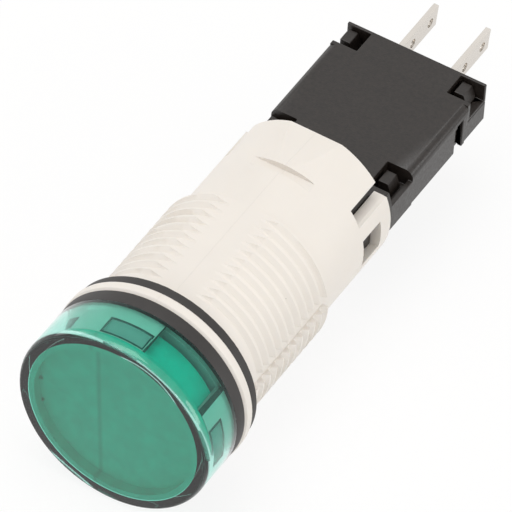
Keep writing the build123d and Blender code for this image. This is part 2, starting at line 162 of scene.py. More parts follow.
class GroupMaker(NodeCanvas):
    """Builds a shader node group with named sockets."""

    def __init__(self, name: str) -> None:
        """Start an empty group.

        Args:
            name: what the group is called.
        """
        super().__init__(bpy.data.node_groups.new(name, "ShaderNodeTree"))
        self.inlet = self.tree.nodes.new("NodeGroupInput")
        self.outlet = self.tree.nodes.new("NodeGroupOutput")

    def socket(self, name: str, kind: str, value: object = None, out: bool = False) -> None:
        """Add a named socket.

        Args:
            name: the socket's name.
            kind: Float, Vector or Color.
            value: the input's value where nothing is joined to it.
            out: whether the socket is an output.
        """
        made = self.tree.interface.new_socket(
            name, in_out="OUTPUT" if out else "INPUT", socket_type=f"NodeSocket{kind}"
        )
        if value is not None:
            made.default_value = value


def make_grain_group() -> bpy.types.NodeTree:
    """Make the group that gives a moulded or cast surface its fine grain.

    Returns:
        The group, with a height from two sizes of noise.
    """
    maker = GroupMaker("surface_grain")
    maker.socket("Vector", "Vector")
    maker.socket("Size", "Float", 1.0)
    maker.socket("Coarse Share", "Float", 0.3)
    maker.socket("Height", "Float", out=True)
    scaled = maker.node("VectorMath", operation="SCALE")
    maker.join(maker.inlet.outputs["Vector"], scaled.inputs[0])
    inverse = maker.node("Math", operation="DIVIDE")
    inverse.inputs[0].default_value = 1.0
    maker.join(maker.inlet.outputs["Size"], inverse.inputs[1])
    maker.join(inverse.outputs[0], scaled.inputs["Scale"])
    fine = maker.node("TexNoise")
    fine.inputs["Scale"].default_value = 1.0
    fine.inputs["Detail"].default_value = 2.0
    coarse = maker.node("TexNoise")
    coarse.inputs["Scale"].default_value = 0.22
    coarse.inputs["Detail"].default_value = 2.0
    maker.join(scaled.outputs[0], fine.inputs["Vector"])
    maker.join(scaled.outputs[0], coarse.inputs["Vector"])
    blend = maker.node("Mix")
    maker.join(maker.inlet.outputs["Coarse Share"], blend.inputs["Factor"])
    maker.join(fine.outputs["Fac"], blend.inputs["A"])
    maker.join(coarse.outputs["Fac"], blend.inputs["B"])
    maker.join(blend.outputs["Result"], maker.outlet.inputs["Height"])
    return maker.tree


def make_tone_group() -> bpy.types.NodeTree:
    """Make the group that spreads a colour a little lighter and darker over a surface.

    Returns:
        The group, with the spread colour and the noise behind it.
    """
    maker = GroupMaker("tone_spread")
    maker.socket("Vector", "Vector")
    maker.socket("Color", "Color", (1.0, 1.0, 1.0, 1.0))
    maker.socket("Size", "Float", 1.0)
    maker.socket("Amount", "Float", 0.05)
    maker.socket("Color", "Color", out=True)
    maker.socket("Noise", "Float", out=True)
    inverse = maker.node("Math", operation="DIVIDE")
    inverse.inputs[0].default_value = 1.0
    maker.join(maker.inlet.outputs["Size"], inverse.inputs[1])
    noise = maker.node("TexNoise")
    noise.inputs["Detail"].default_value = 4.0
    noise.inputs["Roughness"].default_value = 0.6
    maker.join(maker.inlet.outputs["Vector"], noise.inputs["Vector"])
    maker.join(inverse.outputs[0], noise.inputs["Scale"])
    low = maker.node("Math", operation="SUBTRACT")
    low.inputs[0].default_value = 1.0
    high = maker.node("Math", operation="ADD")
    high.inputs[0].default_value = 1.0
    maker.join(maker.inlet.outputs["Amount"], low.inputs[1])
    maker.join(maker.inlet.outputs["Amount"], high.inputs[1])
    level = maker.node("MapRange")
    level.inputs["From Min"].default_value, level.inputs["From Max"].default_value = NOISE_RANGE
    maker.join(noise.outputs["Fac"], level.inputs["Value"])
    maker.join(low.outputs[0], level.inputs["To Min"])
    maker.join(high.outputs[0], level.inputs["To Max"])
    tinted = maker.node("VectorMath", operation="SCALE")
    maker.join(maker.inlet.outputs["Color"], tinted.inputs[0])
    maker.join(level.outputs["Result"], tinted.inputs["Scale"])
    maker.join(tinted.outputs[0], maker.outlet.inputs["Color"])
    maker.join(noise.outputs["Fac"], maker.outlet.inputs["Noise"])
    return maker.tree


def make_speck_group() -> bpy.types.NodeTree:
    """Make the group that marks one small spot on a surface.

    Returns:
        The group, with a mask that is 1 in the spot and 0 away from it.
    """
    maker = GroupMaker("speck")
    maker.socket("Vector", "Vector")
    maker.socket("Centre", "Vector", (0.0, 0.0, 0.0))
    maker.socket("Radius", "Float", 0.001)
    maker.socket("Mask", "Float", out=True)
    away = maker.node("VectorMath", operation="DISTANCE")
    maker.join(maker.inlet.outputs["Vector"], away.inputs[0])
    maker.join(maker.inlet.outputs["Centre"], away.inputs[1])
    share = maker.node("Math", operation="DIVIDE")
    maker.join(away.outputs["Value"], share.inputs[0])
    maker.join(maker.inlet.outputs["Radius"], share.inputs[1])
    fall = maker.node("MapRange", interpolation_type="SMOOTHSTEP")
    fall.inputs["From Min"].default_value = 1.0
    fall.inputs["From Max"].default_value = 0.45
    maker.join(share.outputs[0], fall.inputs["Value"])
    maker.join(fall.outputs["Result"], maker.outlet.inputs["Mask"])
    return maker.tree


def make_seam_group() -> bpy.types.NodeTree:
    """Make the group that marks a thin line where a plane meets the surface.

    Returns:
        The group, with a mask that is 1 on the line and 0 away from it.
    """
    maker = GroupMaker("seam_line")
    maker.socket("Vector", "Vector")
    maker.socket("Across", "Vector", (1.0, 0.0, 0.0))
    maker.socket("Offset", "Float", 0.0)
    maker.socket("Width", "Float", 0.001)
    maker.socket("Mask", "Float", out=True)
    along = maker.node("VectorMath", operation="DOT_PRODUCT")
    maker.join(maker.inlet.outputs["Vector"], along.inputs[0])
    maker.join(maker.inlet.outputs["Across"], along.inputs[1])
    shift = maker.node("Math", operation="SUBTRACT")
    maker.join(along.outputs["Value"], shift.inputs[0])
    maker.join(maker.inlet.outputs["Offset"], shift.inputs[1])
    size = maker.node("Math", operation="ABSOLUTE")
    maker.join(shift.outputs[0], size.inputs[0])
    share = maker.node("Math", operation="DIVIDE")
    maker.join(size.outputs[0], share.inputs[0])
    maker.join(maker.inlet.outputs["Width"], share.inputs[1])
    fall = maker.node("MapRange", interpolation_type="SMOOTHSTEP")
    fall.inputs["From Min"].default_value = 1.0
    fall.inputs["From Max"].default_value = 0.0
    maker.join(share.outputs[0], fall.inputs["Value"])
    maker.join(fall.outputs["Result"], maker.outlet.inputs["Mask"])
    return maker.tree


# Finishes


class SharedGroup(Enum):
    """The node groups that more than one finish uses, by the maker of each."""

    GRAIN = "surface_grain"
    TONE = "tone_spread"
    SPECK = "speck"
    SEAM = "seam_line"

    def tree(self) -> bpy.types.NodeTree:
        """Give the group itself, made the first time that it is asked for.

        Returns:
            The group's tree.
        """
        makers: dict[SharedGroup, Callable[[], bpy.types.NodeTree]] = {
            SharedGroup.GRAIN: make_grain_group,
            SharedGroup.TONE: make_tone_group,
            SharedGroup.SPECK: make_speck_group,
            SharedGroup.SEAM: make_seam_group,
        }
        return bpy.data.node_groups.get(self.value) or makers[self]()


class Sheet(NodeCanvas):
    """The nodes of one material, from the surface's own place to the shader."""

    def __init__(self, name: str) -> None:
        """Start a material with a shader and its place on the piece.

        Args:
            name: the material's name.
        """
        self.material = bpy.data.materials.new(name)
        self.material.use_nodes = True
        super().__init__(self.material.node_tree)
        self.shader = self.node("BsdfPrincipled")
        output = self.node("OutputMaterial")
        self.join(self.shader.outputs["BSDF"], output.inputs["Surface"])
        self.place = self.node("TexCoord").outputs["Object"]

    def group(self, shared: SharedGroup, **values: object) -> bpy.types.Node:
        """Place a shared group, reading the surface's own place.

        Args:
            shared: which group.
            values: the group's inputs by name, with _ for a space.

        Returns:
            The group's node.
        """
        made = self.node("Group", node_tree=shared.tree())
        self.join(self.place, made.inputs["Vector"])
        for key, value in values.items():
            made.inputs[key.replace("_", " ")].default_value = value
        return made

    def tint(
        self, colour: bpy.types.NodeSocket, mask: bpy.types.NodeSocket, to: Colour, share: float
    ) -> bpy.types.NodeSocket:
        """Turn a colour towards another one where a mask says so.

        Args:
            colour: the colour so far.
            mask: where to turn it.
            to: the other colour.
            share: how far it turns where the mask is 1.

        Returns:
            The new colour.
        """
        amount = self.node("Math", operation="MULTIPLY")
        self.join(mask, amount.inputs[0])
        amount.inputs[1].default_value = share
        mixed = self.node("Mix", data_type="RGBA")
        self.join(amount.outputs[0], mixed.inputs["Factor"])
        self.join(colour, mixed.inputs["A"])
        mixed.inputs["B"].default_value = (*to, 1.0)
        return mixed.outputs["Result"]

    def spread(
        self, value: bpy.types.NodeSocket, low: float, high: float
    ) -> bpy.types.NodeSocket:
        """Stretch a noise value over a range.

        Args:
            value: the noise.
            low: what its dark parts become.
            high: what its light parts become.

        Returns:
            The stretched value.
        """
        ranged = self.node("MapRange")
        ranged.inputs["From Min"].default_value, ranged.inputs["From Max"].default_value = NOISE_RANGE
        ranged.inputs["To Min"].default_value = low
        ranged.inputs["To Max"].default_value = high
        self.join(value, ranged.inputs["Value"])
        return ranged.outputs["Result"]

    def bump(
        self, height: bpy.types.NodeSocket, distance: float, before: bpy.types.Node | None = None
    ) -> bpy.types.Node:
        """Raise the surface by a height.

        Args:
            height: the height, from 0 to 1.
            distance: how far 1 stands proud, in millimetres.
            before: another bump that comes first.

        Returns:
            The bump node.
        """
        made = self.node("Bump")
        made.inputs["Strength"].default_value = 1.0
        made.inputs["Distance"].default_value = distance * MM
        self.join(height, made.inputs["Height"])
        if before is not None:
            self.join(before.outputs["Normal"], made.inputs["Normal"])
        return made


@dataclass(frozen=True)
class Speck:
    """One small spot of colour on a surface, such as dirt or a moulding mark, placed in millimetres."""

    centre: Point
    radius: float
    share: float = 0.6


@dataclass(frozen=True)
class Seam:
    """A thin line that a plane leaves on the surface, in millimetres."""

    across: Point
    offset: float
    width: float
    height: float
    share: float = 0.0


@dataclass(frozen=True)
class Finish:
    """What every opaque finish has: a spread colour, a spread gloss and a grain."""

    name: str
    colour: Colour
    roughness: float
    roughness_spread: float = 0.04
    tone_size: float = 3.0
    tone_amount: float = 0.04
    grain_size: float = 0.12
    grain_height: float = 0.004
    coarse_share: float = 0.3
    subsurface: float = 0.0
    subsurface_radius: Colour = (1.0, 0.9, 0.75)
    subsurface_depth: float = 0.5
    specks: tuple[Speck, ...] = ()
    seams: tuple[Seam, ...] = ()
    mark_colour: Colour = (0.12, 0.1, 0.08)

    def make(self) -> bpy.types.Material:
        """Build the material.

        Returns:
            The finished material.
        """
        sheet = Sheet(self.name)
        tone = sheet.group(
            SharedGroup.TONE, Size=self.tone_size * MM, Amount=self.tone_amount,
        )
        tone.inputs["Color"].default_value = (*self.colour, 1.0)
        colour = tone.outputs["Color"]
        for speck in self.specks:
            spot = sheet.group(
                SharedGroup.SPECK, Centre=tuple(v * MM for v in speck.centre), Radius=speck.radius * MM,
            )
            colour = sheet.tint(colour, spot.outputs["Mask"], self.mark_colour, speck.share)
        grain = sheet.group(
            SharedGroup.GRAIN, Size=self.grain_size * MM, Coarse_Share=self.coarse_share,
        )
        bump = sheet.bump(grain.outputs["Height"], self.grain_height)
        for seam in self.seams:
            line = sheet.group(
                SharedGroup.SEAM, Across=seam.across, Offset=seam.offset * MM, Width=seam.width * MM,
            )
            bump = sheet.bump(line.outputs["Mask"], seam.height, bump)
            if seam.share:
                colour = sheet.tint(colour, line.outputs["Mask"], self.mark_colour, seam.share)
        low = self.roughness - self.roughness_spread
        high = self.roughness + self.roughness_spread
        gloss = sheet.spread(tone.outputs["Noise"], low, high)
        sheet.join(colour, sheet.shader.inputs["Base Color"])
        sheet.join(gloss, sheet.shader.inputs["Roughness"])
        sheet.join(bump.outputs["Normal"], sheet.shader.inputs["Normal"])
        if self.subsurface:
            sheet.shader.inputs["Subsurface Weight"].default_value = self.subsurface
            sheet.shader.inputs["Subsurface Radius"].default_value = self.subsurface_radius
            sheet.shader.inputs["Subsurface Scale"].default_value = self.subsurface_depth * MM
        return sheet.material


@dataclass(frozen=True)
class ClearFinish:
    """A clear tinted moulding: the light passes through it and takes its colour."""

    name: str
    tint: Colour
    roughness: float = 0.02
    ior: float = 1.55
    gloss_tint: Colour = (1.0, 1.0, 1.0)
    grain_size: float = 1.4
    grain_height: float = 0.0012
    coarse_share: float = 0.5
    dull_times: float = 2.0

    def make(self) -> bpy.types.Material:
        """Build the material.

        Returns:
            The finished material.
        """
        sheet = Sheet(self.name)
        shader = sheet.shader
        shader.inputs["Base Color"].default_value = (*self.tint, 1.0)
        shader.inputs["Transmission Weight"].default_value = 1.0
        shader.inputs["IOR"].default_value = self.ior
        shader.inputs["Specular Tint"].default_value = (*self.gloss_tint, 1.0)
        grain = sheet.group(
            SharedGroup.GRAIN, Size=self.grain_size * MM, Coarse_Share=self.coarse_share,
        )
        bump = sheet.bump(grain.outputs["Height"], self.grain_height)
        sheet.join(bump.outputs["Normal"], shader.inputs["Normal"])
        dullest = self.roughness * self.dull_times
        gloss = sheet.spread(grain.outputs["Height"], self.roughness, dullest)
        sheet.join(gloss, shader.inputs["Roughness"])
        return sheet.material


@dataclass(frozen=True)
class BrushedFinish:
    """Tinned or bare metal with faint marks drawn along one direction."""

    name: str
    colour: Colour
    roughness: float = 0.3
    smoother_by: float = 0.06
    rougher_by: float = 0.1
    stretch: Point = (1.0, 0.08, 1.0)
    mark_size: float = 0.25
    mark_height: float = 0.003
    coarse_share: float = 0.4
    tone_size: float = 1.6
    tone_amount: float = 0.06
    stain: Colour = (0.42, 0.38, 0.33)
    stain_share: float = 0.25

    def make(self) -> bpy.types.Material:
        """Build the material.

        Returns:
            The finished material.
        """
        sheet = Sheet(self.name)
        drawn = sheet.node("Mapping")
        drawn.inputs["Scale"].default_value = self.stretch
        sheet.join(sheet.place, drawn.inputs["Vector"])
        marks = sheet.group(
            SharedGroup.GRAIN, Size=self.mark_size * MM, Coarse_Share=self.coarse_share,
        )
        sheet.join(drawn.outputs["Vector"], marks.inputs["Vector"])
        tone = sheet.group(SharedGroup.TONE, Size=self.tone_size * MM, Amount=self.tone_amount)
        tone.inputs["Color"].default_value = (*self.colour, 1.0)
        patch = sheet.spread(tone.outputs["Noise"], 0.0, 1.0)
        colour = sheet.tint(tone.outputs["Color"], patch, self.stain, self.stain_share)
        gloss = sheet.spread(
            marks.outputs["Height"], self.roughness - self.smoother_by, self.roughness + self.rougher_by
        )
        bump = sheet.bump(marks.outputs["Height"], self.mark_height)
        sheet.join(colour, sheet.shader.inputs["Base Color"])
        sheet.join(gloss, sheet.shader.inputs["Roughness"])
        sheet.join(bump.outputs["Normal"], sheet.shader.inputs["Normal"])
        sheet.shader.inputs["Metallic"].default_value = 1.0
        return sheet.material


CREAM = Finish(
    name="cream_moulding",
    colour=(0.835, 0.795, 0.745),
    roughness=0.45,
    tone_size=5.0,
    tone_amount=0.012,
    grain_size=0.2,
    grain_height=0.003,
    subsurface=0.12,
    specks=(
        Speck((5.59, 5.27, 5.0), 0.12),
        Speck((-3.3, 5.69, 6.74), 0.13, 0.3),
        Speck((-3.09, 8.26, 6.83), 0.09, 0.2),
        Speck((6.31, 8.04, 4.05), 0.1, 0.4),
        Speck((7.34, 5.35, 1.54), 0.12, 0.3),
        Speck((5.15, 4.86, 5.45), 0.08, 0.3),
    ),
    seams=(Seam((1.0, 0.0, 0.0), 0.0, 0.07, 0.012, 0.05),),
)
BLACK = Finish(
    name="black_moulding",
    colour=(0.0165, 0.0125, 0.0102),
    roughness=0.37,
    roughness_spread=0.08,
    tone_size=0.3,
    tone_amount=0.3,
    grain_size=0.12,
    grain_height=0.02,
)
RUBBER = Finish(
    name="black_rubber",
    colour=(0.024, 0.021, 0.0195),
    roughness=0.55,
    tone_size=0.5,
    tone_amount=0.2,
    grain_size=0.15,
    grain_height=0.008,
)
LENS = ClearFinish(name="green_lens", tint=(0.4, 0.82, 0.72), gloss_tint=(0.25, 0.6, 0.52))
LENS_FACE = ClearFinish(name="green_lens_face", tint=(0.42, 0.82, 0.72))
# Painted shade and painted light on the lens lugs that sit in the spigot's windows: the lug sides are
# tinted near black for the shade at the windows' edges, and the lug tops are tinted nearly clear so that
# the shaded pockets behind them look lighter.
LENS_LUG_PAINTED_SHADE = ClearFinish(name="green_lens_lug_side_painted_shade", tint=(0.004, 0.04, 0.03), roughness=0.3)
LENS_LUG_PAINTED_LIGHT = ClearFinish(name="green_lens_lug_top_painted_light", tint=(0.95, 1.0, 1.0))
# Painted light and painted shade in the spigot's window pockets: the floors are painted near white,
# lighter than the cream, to lift the shade inside the pockets, and the walls are painted near black for
# that shade.
PAINTED_LIGHT_POCKET_FLOOR = Finish(name="cream_pocket_floor_painted_light", colour=(1.0, 1.0, 0.97), roughness=0.5)
PAINTED_SHADE_POCKET_WALL = Finish(name="cream_pocket_wall_painted_shade", colour=(0.05, 0.045, 0.04), roughness=0.6)
SKIRT = Finish(
    name="green_filter_skirt",
    colour=(0.004, 0.7, 0.56),
    roughness=0.7,
    tone_size=1.2,
    tone_amount=0.1,
    grain_size=0.3,
    grain_height=0.01,
)
# The filter's face is turned darker green at two spots and along one thin upright line, which has colour
# only and no height.
FILTER = Finish(
    name="green_filter",
    colour=(0.03, 0.64, 0.5),
    roughness=0.6,
    tone_size=1.2,
    tone_amount=0.1,
    grain_size=0.3,
    grain_height=0.01,
    mark_colour=(0.01, 0.2, 0.14),
    specks=(
        Speck((-7.25, -6.75, 0.0), 0.3, 0.8),
        Speck((-6.95, -6.75, -2.3), 0.26, 0.8),
    ),
    seams=(Seam((0.997, 0.0, 0.075), -1.84, 0.35, 0.0, 0.35),),
)
BLADE = BrushedFinish(name="tinned_brass", colour=(0.72, 0.68, 0.63))
WIRE = BrushedFinish(name="tinned_wire", colour=(0.75, 0.74, 0.72), mark_size=0.12)
SOLDER = BrushedFinish(
    name="solder", colour=(0.66, 0.66, 0.67), roughness=0.24, stretch=(1.0, 1.0, 1.0), mark_size=0.5,
)
BOARD = Finish(
    name="board_laminate", colour=(0.06, 0.2, 0.085), roughness=0.4, tone_size=0.6, tone_amount=0.1,
)
LAMP = ClearFinish(name="lamp_resin", tint=(0.5, 0.9, 0.6), roughness=0.12)
GUIDE = Finish(name="white_moulding", colour=(0.86, 0.86, 0.84), roughness=0.5, tone_amount=0.02)
RESISTOR = Finish(name="resistor_coat", colour=(0.36, 0.46, 0.58), roughness=0.4)
CAPACITOR = Finish(name="capacitor_sleeve", colour=(0.02, 0.026, 0.07), roughness=0.3)
RECTIFIER = Finish(name="rectifier_resin", colour=(0.028, 0.028, 0.03), roughness=0.6)
VARISTOR = Finish(name="varistor_body", colour=(0.2, 0.18, 0.16), roughness=0.6)


AnyFinish = Finish | ClearFinish | BrushedFinish


class Paint:
    """Keeps one material for each finish."""

    made: dict[str, bpy.types.Material] = {}

    @classmethod
    def of(cls, finish: AnyFinish) -> bpy.types.Material:
        """Give the material of a finish, built the first time that it is asked for.

        Args:
            finish: the finish.

        Returns:
            Its material.
        """
        if finish.name not in cls.made:
            cls.made[finish.name] = finish.make()
        return cls.made[finish.name]


def dress_node(name: str, finish: AnyFinish) -> None:
    """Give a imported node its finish.

    Args:
        name: the node.
        finish: its finish.
    """
    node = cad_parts[name]
    material = Paint.of(finish)
    for place in node.material_slots:
        place.material = material
    LOG.info("dressed %s", name)


def add_object(name: str, data: bpy.types.ID) -> bpy.types.Object:
    """Add an object to the scene.

    Args:
        name: what it is called.
        data: its mesh, lamp or camera.

    Returns:
        The new object.
    """
    made = bpy.data.objects.new(name, data)
    bpy.context.scene.collection.objects.link(made)
    return made


def place_piece(
    mesh: bmesh.types.BMesh,
    name: str,
    finish: AnyFinish,
    replaced: Iterable[str],
) -> bpy.types.Object:
    """Turn a finished mesh into a piece that rides with the object.

    Args:
        mesh: the shape, in metres, in the part's own frame.
        name: the piece's name.
        finish: its finish.
        replaced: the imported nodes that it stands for.

    Returns:
        The new piece.
    """
    data = bpy.data.meshes.new(name)
    mesh.to_mesh(data)
    mesh.free()
    data.shade_smooth()
    data.set_sharp_from_angle(angle=SHARP_ANGLE)
    piece = add_object(name, data)
    data.materials.append(Paint.of(finish))
    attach(piece, "root")
    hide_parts(*replaced)
    LOG.info("made %s with %d faces", name, len(data.polygons))
    return piece


# Shapes


def reach_of(point: Vector) -> float:
    """Measure how far a point lies from the lamp's axis.

    Args:
        point: the point.

    Returns:
        Its distance, in metres.
    """
    return math.hypot(point.x, point.z)


def turn_of(point: Vector) -> float:
    """Measure where a point lies round the lamp's axis.

    Args:
        point: the point.

    Returns:
        Its angle from straight up towards +X, in degrees.
    """
    return math.degrees(math.atan2(point.x, point.z))


def radius_of(name: str) -> float:
    """Measure half of a round node's width across.

    Args:
        name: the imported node.

    Returns:
        Its radius, in metres.
    """
    low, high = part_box(name)
    return (high.x - low.x) / 2.0


def spin_profile(points: list[tuple[float, float]], steps: int) -> bmesh.types.BMesh:
    """Spin a closed outline of radius and place round the lamp's axis.

    Args:
        points: the radius and the Y of each corner, in metres, front to back.
        steps: how many steps the full turn has.

    Returns:
        The spun mesh, closed, with its faces outwards.
    """
    mesh = bmesh.new()
    corners = [mesh.verts.new((0.0, y, radius)) for radius, y in points]
    pairs = zip(corners, corners[1:] + corners[:1])
    edges = [
        mesh.edges.new(pair) for pair in pairs
        if max(pair[0].co.z, pair[1].co.z) > 0.0
    ]
    bmesh.ops.spin(
        mesh, geom=corners + edges, cent=(0.0, 0.0, 0.0), axis=AXIS,
        angle=math.tau, steps=steps, use_merge=True,
    )
    bmesh.ops.remove_doubles(mesh, verts=mesh.verts, dist=1e-7)
    bmesh.ops.recalc_face_normals(mesh, faces=mesh.faces)
    return mesh


def rim_edges(mesh: bmesh.types.BMesh, radius: float, y: float) -> list[bmesh.types.BMEdge]:
    """The edges of one round rim.

    Args:
        mesh: the mesh to look in.
        radius: the rim's radius.
        y: the rim's place along the axis.

    Returns:
        The rim's edges.
    """

    def on_rim(corner: bmesh.types.BMVert) -> bool:
        """Say whether a corner lies on the rim."""
        return max(abs(corner.co.y - y), abs(reach_of(corner.co) - radius)) < SAME_CORNER

    return [e for e in mesh.edges if all(on_rim(v) for v in e.verts)]


def round_rim(
    mesh: bmesh.types.BMesh, radius: float, y: float, size: float, segments: int
) -> None:
    """Round one rim of a spun mesh.

    Args:
        mesh: the mesh to change.
        radius: the rim's radius.
        y: the rim's place along the axis.
        size: the radius of the rounding.
        segments: how many faces the rounding has.
    """
    bmesh.ops.bevel(
        mesh, geom=rim_edges(mesh, radius, y), offset=size, offset_type="OFFSET", segments=segments,
        profile=0.5, affect="EDGES", clamp_overlap=True, material=-1,
    )


def room_beside(edge: bmesh.types.BMEdge) -> float:
    """How wide the narrower face beside an edge is.

    Args:
        edge: the edge, with a face on each side.

    Returns:
        The least distance from the edge to another corner of those faces.
    """
    start, end = (v.co for v in edge.verts)
    along = (end - start).normalized()
    room = edge.calc_length()
    for face in edge.link_faces:
        inward = face.normal.cross(along).normalized()
        if (face.calc_center_median() - start).dot(inward) < 0.0:
            inward.negate()
        for corner in face.verts:
            away = (corner.co - start).dot(inward)
            if away > 1e-6:
                room = min(room, away)
    return room


def copy_of(name: str) -> bmesh.types.BMesh:
    """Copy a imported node's mesh, with its loose triangles joined into whole faces.

    Args:
        name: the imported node.

    Returns:
        The joined copy.
    """
    mesh = bmesh.new()
    mesh.from_mesh(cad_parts[name].data)
    bmesh.ops.remove_doubles(mesh, verts=mesh.verts, dist=SAME_CORNER)
    bmesh.ops.dissolve_limit(mesh, angle_limit=FLAT_ANGLE, verts=mesh.verts, edges=mesh.edges)
    return mesh


def add_block(mesh: bmesh.types.BMesh, low: Point, high: Point) -> None:
    """Add a block between two corners.

    Args:
        mesh: the mesh that the block joins.
        low: its lowest corner, in millimetres.
        high: its highest corner, in millimetres.
    """
    size = (Vector(high) - Vector(low)) * MM
    middle = Vector(low) * MM + size / 2.0
    place = Matrix.Translation(middle) @ Matrix.Diagonal((*size, 1.0))
    bmesh.ops.create_cube(mesh, size=1.0, matrix=place)


def carve(mesh: bmesh.types.BMesh, cutter: bmesh.types.BMesh) -> bmesh.types.BMesh:
    """Cut one closed mesh out of another.

    Args:
        mesh: the shape that is cut.
        cutter: the shape that is taken away.

    Returns:
        What is left of the first shape.
    """
    shapes = []
    for source in (mesh, cutter):
        data = bpy.data.meshes.new("carving")
        source.to_mesh(data)
        source.free()
        shapes.append(add_object("carving", data))
    cut = shapes[0].modifiers.new("cut", "BOOLEAN")
    cut.operation = "DIFFERENCE"
    cut.solver = "EXACT"
    cut.object = shapes[1]
    graph = bpy.context.evaluated_depsgraph_get()
    left = bpy.data.meshes.new_from_object(shapes[0].evaluated_get(graph))
    carved = bmesh.new()
    carved.from_mesh(left)
    for data in (left, *(shape.data for shape in shapes)):
        bpy.data.meshes.remove(data)
    return carved


def keep_round(piece: bpy.types.Object) -> None:
    """Shade the round faces about the lamp's axis as true cylinders, and flat faces as flat.

    Args:
        piece: the piece, whose sharp edges are already set.
    """
    same_reach = 4e-5
    straight_out = 0.995
    least_slant, most_slant = 0.3, 0.97
    data = piece.data
    normals = [Vector((0.0, 0.0, 0.0))] * len(data.loops)
    for face in data.polygons:
        corners = [data.vertices[i].co for i in face.vertices]
        outward = [Vector((c.x, 0.0, c.z)).normalized() for c in corners]
        reaches = [reach_of(c) for c in corners]
        facing = [face.normal.dot(o) for o in outward]
        level = max(reaches) - min(reaches) < same_reach
        slanted = least_slant < abs(face.normal.y) < most_slant
        for loop, out, dot in zip(face.loop_indices, outward, facing):
            if level and min(abs(f) for f in facing) > straight_out:
                normals[loop] = out * math.copysign(1.0, dot)
            elif not slanted:
                normals[loop] = face.normal.copy()
    data.normals_split_custom_set(normals)


@dataclass
class SoftEdges:
    """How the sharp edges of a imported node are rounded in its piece, in millimetres."""

    width: float = 0.09
    segments: int = 2
    sharp_angle: float = 32.0
    room_share: float = 0.4
    front_limit: float = -100.0

    def mark(self, mesh: bmesh.types.BMesh) -> bmesh.types.BMesh:
        """Give each edge that is to be rounded its weight.

        Args:
            mesh: the shape, with its loose triangles joined.

        Returns:
            The same mesh.
        """
        weight = mesh.edges.layers.float.new("bevel_weight_edge")
        for edge in mesh.edges:
            if not edge.is_manifold or edge.calc_face_angle() < math.radians(self.sharp_angle):
                continue
            if min(v.co.y for v in edge.verts) < self.front_limit * MM:
                continue
            edge[weight] = min(1.0, self.room_share * room_beside(edge) / (self.width * MM))
        return mesh

    def finish(self, piece: bpy.types.Object) -> None:
        """Round the weighted edges of a piece.

        Args:
            piece: the piece, whose mesh carries the weights.
        """
        bevel = piece.modifiers.new("soft_edges", "BEVEL")
        bevel.limit_method = "WEIGHT"
        bevel.width = self.width * MM
        bevel.segments = self.segments
        bevel.profile = 0.5
        bevel.use_clamp_overlap = False
        bevel.harden_normals = True


# Sub-assemblies


